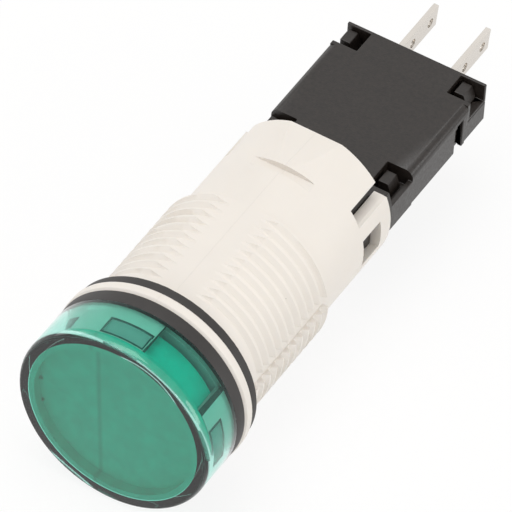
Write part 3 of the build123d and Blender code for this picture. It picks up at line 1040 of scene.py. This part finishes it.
@dataclass
class LensUnit:
    """The green lens cap with its filter, seal and the lamp behind it, in millimetres and degrees."""

    steps: int = 180
    face_thickness: float = 0.25
    wall: float = 0.97
    round_across: float = 0.38
    round_along: float = 0.68
    round_steps: int = 10
    rear_round: float = 0.03
    rear_segments: int = 3
    lug_from_face: float = 1.35
    lug_length: float = 1.5
    lug_height: float = 0.4
    lug_low: float = -16.0
    lug_high: float = 10.0
    lug_count: int = 4
    filter_gap: float = 0.05
    filter_wall: float = 0.7
    filter_plate: float = 0.8
    dish_depth: float = 1.0
    dish_radius: float = 7.35
    rim_thickness: float = 0.25

    def cap_mesh(self) -> bmesh.types.BMesh:
        """Spin the cap and raise its lugs.

        Returns:
            The cap's closed mesh.
        """
        low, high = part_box("lens_cap")
        outer = radius_of("lens_cap")
        bore = outer - self.wall * MM
        back = low.y + self.face_thickness * MM
        lug_front = back + self.lug_from_face * MM
        lug_rear = lug_front + self.lug_length * MM
        turns = [math.pi / 2.0 * step / self.round_steps for step in range(self.round_steps + 1)]
        rounding = [
            (
                outer - self.round_across * MM * (1.0 - math.sin(turn)),
                low.y + self.round_along * MM * (1.0 - math.cos(turn)),
            )
            for turn in turns
        ]
        mesh = spin_profile(
            [
                (0.0, low.y), *rounding, (outer, high.y), (bore, high.y), (bore, lug_rear),
                (bore, lug_front), (bore, back), (0.0, back),
            ],
            self.steps,
        )

        def on_lug(face: bmesh.types.BMFace) -> bool:
            """Say whether a face of the bore lies under a lug."""
            centre = face.calc_center_median()
            if not lug_front < centre.y < lug_rear:
                return False
            if reach_of(centre) > bore + TOUCH:
                return False
            step = 360.0 / self.lug_count
            from_lug = (turn_of(centre) + step / 2.0) % step - step / 2.0
            return self.lug_low < from_lug < self.lug_high

        under = [f for f in mesh.faces if on_lug(f)]
        raised = bmesh.ops.extrude_face_region(mesh, geom=under)["geom"]
        tops = [v for v in raised if isinstance(v, bmesh.types.BMVert)]
        share = (bore - self.lug_height * MM) / bore
        bmesh.ops.scale(mesh, vec=(share, 1.0, share), verts=tops)
        round_rim(mesh, outer, high.y, self.rear_round * MM, self.rear_segments)
        bmesh.ops.recalc_face_normals(mesh, faces=mesh.faces)
        # Painted light on the lug tops and painted shade on the lug sides, by finish.
        top_reach = bore - self.lug_height * MM + TOUCH
        for face in mesh.faces:
            reaches = [reach_of(v.co) for v in face.verts]
            if lug_front - TOUCH < face.calc_center_median().y < lug_rear + TOUCH:
                if max(reaches) < top_reach:
                    face.material_index = CapFace.LUG_TOP_PAINTED_LIGHT
                elif min(reaches) < top_reach and max(reaches) < bore + TOUCH:
                    face.material_index = CapFace.LUG_SIDE_PAINTED_SHADE
        return mesh

    def filter_mesh(self) -> bmesh.types.BMesh:
        """Spin the colour filter: a dished disc with a rim in front and a skirt behind.

        Returns:
            The filter's closed mesh.
        """
        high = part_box("colour_filter")[1]
        rim = radius_of("lens_cap") - (self.wall + self.filter_gap) * MM
        inner = min(
            reach_of(v.co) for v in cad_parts["colour_filter"].data.vertices
            if v.co.y > high.y - TOUCH
        )
        skirt = inner + self.filter_wall * MM
        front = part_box("lens_cap")[0].y + (self.face_thickness + self.filter_gap) * MM
        plate = front + self.dish_depth * MM
        rear = plate + self.filter_plate * MM
        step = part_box("colour_filter")[0].y + self.rim_thickness * MM
        dish = self.dish_radius * MM
        return spin_profile(
            [
                (0.0, plate), (dish, plate), (dish, front), (rim, front), (rim, step), (skirt, step),
                (skirt, high.y), (inner, high.y), (inner, rear), (0.0, rear),
            ],
            self.steps,
        )

    def build(self) -> None:
        """Build the cap, the filter and the seal."""
        cap = place_piece(self.cap_mesh(), "clear_lens_cap", LENS, ["lens_cap"])
        # A white-gloss front, then the painted shade of the lug sides and the painted light of the lug
        # tops.
        for finish in (LENS_FACE, LENS_LUG_PAINTED_SHADE, LENS_LUG_PAINTED_LIGHT):
            cap.data.materials.append(Paint.of(finish))
        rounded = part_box("lens_cap")[0].y + self.round_along * MM
        for face in cap.data.polygons:
            if face.center.y < rounded and face.normal.y < 0.0:
                face.material_index = CapFace.FRONT
        cup = place_piece(
            self.filter_mesh(), "green_filter_cup", FILTER, ["colour_filter"]
        )
        cup.data.materials.append(Paint.of(SKIRT))
        behind_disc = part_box("colour_filter")[0].y + self.filter_plate * MM / 2.0
        for face in cup.data.polygons:
            face.material_index = int(face.center.y > behind_disc)
        RubberRing("lens_seal", "black_lens_seal", front_edge=0.03).build()

    def dress(self) -> None:
        """Dress what lies behind the lens."""
        dress_node("led_lamp", LAMP)
        dress_node("lamp_guide", GUIDE)
        for side in ("left", "right"):
            dress_node(f"led_lead_{side}", WIRE)


@dataclass
class RubberRing:
    """One of the two black rubber rings."""

    node: str
    name: str
    steps: int = 180
    front_edge: float = 0.16
    rear_edge: float = 0.16
    edge_segments: int = 4
    ragged: float = 0.0
    chance_seed: int = 7

    def build(self) -> None:
        """Spin the ring, round its outer rims and rough up the rear one."""
        low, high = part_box(self.node)
        outer = radius_of(self.node)
        inner = min(reach_of(v.co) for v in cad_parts[self.node].data.vertices)
        mesh = spin_profile([(inner, low.y), (outer, low.y), (outer, high.y), (inner, high.y)], self.steps)
        round_rim(mesh, outer, low.y, self.front_edge * MM, self.edge_segments)
        round_rim(mesh, outer, high.y, self.rear_edge * MM, self.edge_segments)
        bmesh.ops.recalc_face_normals(mesh, faces=mesh.faces)
        if self.ragged:
            chance = random.Random(self.chance_seed)
            edge = self.rear_edge * MM
            for corner in mesh.verts:
                reach = reach_of(corner.co)
                if corner.co.y > high.y - edge / 2.0 and reach > outer - edge:
                    share = 1.0 - self.ragged * MM * chance.random() / reach
                    corner.co.x *= share
                    corner.co.z *= share
        place_piece(mesh, self.name, RUBBER, [self.node])


@dataclass
class BarrelUnit:
    """The cream barrel and the gasket behind its flange, in millimetres and degrees.

    Each wall of the spigot's cut-out is given by its angle and by how far it is turned.
    """

    soft: SoftEdges = field(default_factory=lambda: SoftEdges(width=0.07, front_limit=13.4))
    arm_length: float = 4.35
    arm_half_height: float = 2.82
    slot_half_height: float = 4.2
    arm_inside: float = 4.0
    cut_margin: float = 1.0
    window_shift: float = -0.55
    pocket_low: float = 7.2
    pocket_high: float = 7.8
    window_front: float = -6.2
    window_rear: float = -4.0
    cutout_front: float = -6.7
    cutout_rear: float = -2.7
    cutout_walls: tuple[tuple[float, float], ...] = ((14.0, -2.8), (58.0, 5.0))
    wall_search: float = 0.5
    floor_facing: float = 0.9

    def arm_cutter(self) -> bmesh.types.BMesh:
        """Make what is cut beside the latch arms, above and below each.

        Returns:
            The blocks to cut away.
        """
        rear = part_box("body_barrel")[1].y / MM
        front = rear - self.arm_length
        past = rear + self.cut_margin
        far = radius_of("body_barrel") / MM
        cutter = bmesh.new()
        for low, high in (
            (self.arm_half_height, self.slot_half_height), (-self.slot_half_height, -self.arm_half_height),
        ):
            add_block(cutter, (self.arm_inside, front, low), (far, past, high))
            add_block(cutter, (-far, front, low), (-self.arm_inside, past, high))
        return cutter

    def move_windows(self, mesh: bmesh.types.BMesh) -> None:
        """Move the spigot's windows forward and widen its cut-out.

        Args:
            mesh: the barrel.
        """
        windows = [
            v for v in mesh.verts if self.window_front * MM < v.co.y < self.window_rear * MM
        ]
        bmesh.ops.translate(mesh, vec=(0.0, self.window_shift * MM, 0.0), verts=windows)
        for angle, turn in self.cutout_walls:
            wall = [
                v for v in mesh.verts
                if self.cutout_front * MM < v.co.y < self.cutout_rear * MM
                and abs(turn_of(v.co) - angle) < self.wall_search
            ]
            bmesh.ops.rotate(
                mesh, verts=wall, cent=(0.0, 0.0, 0.0),
                matrix=Matrix.Rotation(math.radians(turn), 3, "Y"),
            )

    def paint_pocket_light_and_shade(self, barrel: bpy.types.Object) -> None:
        """Paint light and shade into the spigot's windows: the pocket floors get a near-white finish and
        the pocket walls a near-black one.

        Args:
            barrel: the placed barrel.
        """
        # Painted light on the pocket floors, painted shade on the pocket walls.
        for finish in (PAINTED_LIGHT_POCKET_FLOOR, PAINTED_SHADE_POCKET_WALL):
            barrel.data.materials.append(Paint.of(finish))
        front = (self.window_front + self.window_shift) * MM
        rear = (self.window_rear + self.window_shift) * MM
        for face in barrel.data.polygons:
            reach = reach_of(face.center)
            if not (front < face.center.y < rear and self.pocket_low * MM < reach < self.pocket_high * MM):
                continue
            radial = abs(face.normal.x * face.center.x + face.normal.z * face.center.z) / reach
            floor = radial > self.floor_facing
            face.material_index = BarrelFace.PAINTED_LIGHT_POCKET_FLOOR if floor else BarrelFace.PAINTED_SHADE_POCKET_WALL

    def build(self) -> None:
        """Build the barrel with rounded edges, and the gasket."""
        mesh = copy_of("body_barrel")
        self.move_windows(mesh)
        mesh = self.soft.mark(carve(mesh, self.arm_cutter()))
        barrel = place_piece(mesh, "cream_barrel", CREAM, ["body_barrel"])
        self.paint_pocket_light_and_shade(barrel)
        keep_round(barrel)
        self.soft.finish(barrel)
        RubberRing("panel_gasket", "black_panel_gasket", ragged=0.07).build()


@dataclass
class LampBlock:
    """The black block with the parts on its board and its two blades."""

    cover_edges: SoftEdges = field(default_factory=SoftEdges)
    case_edges: SoftEdges = field(default_factory=lambda: SoftEdges(width=0.08))
    blade_edges: SoftEdges = field(default_factory=lambda: SoftEdges(width=0.06))

    def build(self) -> None:
        """Build the two halves of the block and the blades."""
        for name, piece_name, edges in (
            ("lamp_cover", "black_block_cover", self.cover_edges),
            ("lamp_case", "black_block_case", self.case_edges),
        ):
            half = place_piece(edges.mark(copy_of(name)), piece_name, BLACK, [name])
            edges.finish(half)
        for side in ("left", "right"):
            name = f"terminal_{side}"
            mesh = self.blade_edges.mark(copy_of(name))
            blade = place_piece(mesh, f"tinned_blade_{side}", BLADE, [name])
            self.blade_edges.finish(blade)

    def dress(self) -> None:
        """Dress the parts inside the block."""
        dress_node("circuit_board", BOARD)
        dress_node("smoothing_capacitor", CAPACITOR)
        dress_node("bridge_rectifier", RECTIFIER)
        dress_node("surge_varistor", VARISTOR)
        for side in ("left", "right"):
            dress_node(f"dropper_resistor_{side}", RESISTOR)
            dress_node(f"terminal_solder_{side}", SOLDER)
            dress_node(f"lead_solder_{side}", SOLDER)


# Studio


@dataclass(frozen=True)
class Softbox:
    """One soft area lamp, placed by its direction from the object, in metres and watts."""

    name: str
    direction: Point
    distance: float
    size: float
    power: float

    def build(self, centre: Vector) -> None:
        """Hang the lamp so that it faces the object.

        Args:
            centre: the object's middle.
        """
        data = bpy.data.lights.new(self.name, "AREA")
        data.shape = "SQUARE"
        data.size = self.size
        data.energy = self.power
        lamp = add_object(self.name, data)
        towards = Vector(self.direction).normalized()
        lamp.location = centre + towards * self.distance
        lamp.rotation_euler = towards.to_track_quat("Z", "Y").to_euler()


@dataclass
class Studio:
    """The pale floor, the soft light and the camera, in degrees and millimetres."""

    fill: float = 0.56
    fill_colour: Colour = (1.0, 0.97, 0.93)
    floor_gap: float = 0.03
    floor_size: float = 3000.0
    floor_colour: float = 0.8
    shadow_share: float = 0.13
    azimuth: float = 28.000678
    elevation: float = 46.049043
    roll: float = 4.304922
    aim: Point = (2.854858, 8.891792, 6.276484)
    distance: float = 753.593563
    lens: float = 661.300945
    sensor: float = 36.0
    nearest: float = 10.0
    lamps: tuple[Softbox, ...] = (
        Softbox("left_strip", (-0.33, -0.72, 0.61), 0.6, 0.1, 0.14),
        Softbox("right_strip", (0.56, -0.76, 0.33), 0.6, 0.1, 0.14),
        Softbox("top_softbox", (-0.15, -0.1, 1.0), 0.6, 0.4, 1.5),
        Softbox("right_softbox", (1.0, 0.15, 0.2), 0.6, 0.3, 1.05),
        Softbox("left_softbox", (-1.0, 0.2, 0.3), 0.6, 0.3, 0.4),
    )

    @staticmethod
    def show(
        canvas: NodeCanvas, lit: bpy.types.NodeSocket, seen: bpy.types.NodeSocket, output_kind: str
    ) -> None:
        """Join one shader for the light that is given and one for what is seen.

        Rays that the camera, a gloss or a clear piece sends out count as seen.

        Args:
            canvas: the tree of the world or the floor.
            lit: the shader that lights.
            seen: the shader that shows.
            output_kind: the output node's type, without its prefix.
        """
        path = canvas.node("LightPath")
        near = canvas.node("Math", operation="MAXIMUM")
        canvas.join(path.outputs["Is Camera Ray"], near.inputs[0])
        canvas.join(path.outputs["Is Glossy Ray"], near.inputs[1])
        shown = canvas.node("Math", operation="MAXIMUM")
        canvas.join(near.outputs[0], shown.inputs[0])
        canvas.join(path.outputs["Is Transmission Ray"], shown.inputs[1])
        mixed = canvas.node("MixShader")
        canvas.join(shown.outputs[0], mixed.inputs["Fac"])
        canvas.join(lit, mixed.inputs[1])
        canvas.join(seen, mixed.inputs[2])
        canvas.join(mixed.outputs[0], canvas.node(output_kind).inputs["Surface"])

    def build_world(self) -> None:
        """Build a plain dome that is white where it is seen and dimmer where it lights."""
        world = bpy.data.worlds.new("soft_dome")
        bpy.context.scene.world = world
        world.use_nodes = True
        canvas = NodeCanvas(world.node_tree)
        lit = canvas.node("Background")
        lit.inputs["Color"].default_value = (*self.fill_colour, 1.0)
        lit.inputs["Strength"].default_value = self.fill
        seen = canvas.node("Background")
        seen.inputs["Color"].default_value = (1.0, 1.0, 1.0, 1.0)
        self.show(canvas, lit.outputs[0], seen.outputs[0], "OutputWorld")

    def floor_finish(self) -> bpy.types.Material:
        """Make the pale floor, which keeps a soft shadow where it is seen.

        Returns:
            The floor's material.
        """
        material = bpy.data.materials.new("pale_floor")
        material.use_nodes = True
        canvas = NodeCanvas(material.node_tree)
        plain = canvas.node("BsdfDiffuse")
        plain.inputs["Color"].default_value = (*[self.floor_colour] * 3, 1.0)
        shaded = canvas.node("BsdfDiffuse")
        shaded.inputs["Color"].default_value = (*[self.shadow_share] * 3, 1.0)
        glow = canvas.node("Emission")
        glow.inputs["Strength"].default_value = 1.0 - self.shadow_share
        seen = canvas.node("AddShader")
        canvas.join(shaded.outputs[0], seen.inputs[0])
        canvas.join(glow.outputs[0], seen.inputs[1])
        self.show(canvas, plain.outputs[0], seen.outputs[0], "OutputMaterial")
        return material

    def build_floor(self) -> None:
        """Lay the floor just under the flange."""
        mesh = bmesh.new()
        bmesh.ops.create_grid(mesh, x_segments=1, y_segments=1, size=self.floor_size * MM / 2.0)
        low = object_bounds()[0].z - self.floor_gap * MM
        bmesh.ops.translate(mesh, vec=(0.0, 0.0, low), verts=mesh.verts)
        data = bpy.data.meshes.new("pale_floor")
        mesh.to_mesh(data)
        mesh.free()
        floor = add_object("pale_floor", data)
        data.materials.append(self.floor_finish())
        floor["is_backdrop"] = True

    def build_camera(self) -> None:
        """Put the camera at the photograph's place, with its slight roll."""
        turn, rise, roll = (math.radians(a) for a in (self.azimuth, self.elevation, self.roll))
        back = Vector((math.sin(turn) * math.cos(rise), -math.cos(turn) * math.cos(rise), math.sin(rise)))
        level = Vector((math.cos(turn), math.sin(turn), 0.0))
        upright = back.cross(level)
        right = level * math.cos(roll) + upright * math.sin(roll)
        top = upright * math.cos(roll) - level * math.sin(roll)
        data = bpy.data.cameras.new("camera")
        data.lens = self.lens
        data.sensor_width = self.sensor
        data.clip_start = self.nearest * MM
        camera = add_object("camera", data)
        turned = Matrix((right, top, back)).transposed().to_4x4()
        place = Vector(self.aim) * MM + back * self.distance * MM
        camera.matrix_world = Matrix.Translation(place) @ turned
        bpy.context.scene.camera = camera

    def build(self) -> None:
        """Set up the whole studio."""
        low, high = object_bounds()
        self.build_world()
        self.build_floor()
        for lamp in self.lamps:
            lamp.build((low + high) / 2.0)
        self.build_camera()
        bpy.context.scene.view_settings.view_transform = "Standard"
        LOG.info("the studio is ready")


def main() -> None:
    """Build the pilot light's looks in order and set up the studio."""
    logging.basicConfig(level=logging.INFO, format="%(message)s")
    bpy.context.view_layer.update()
    lens = LensUnit()
    lens.build()
    lens.dress()
    BarrelUnit().build()
    block = LampBlock()
    block.build()
    block.dress()
    Studio().build()


if __name__ == "__main__":
    main()
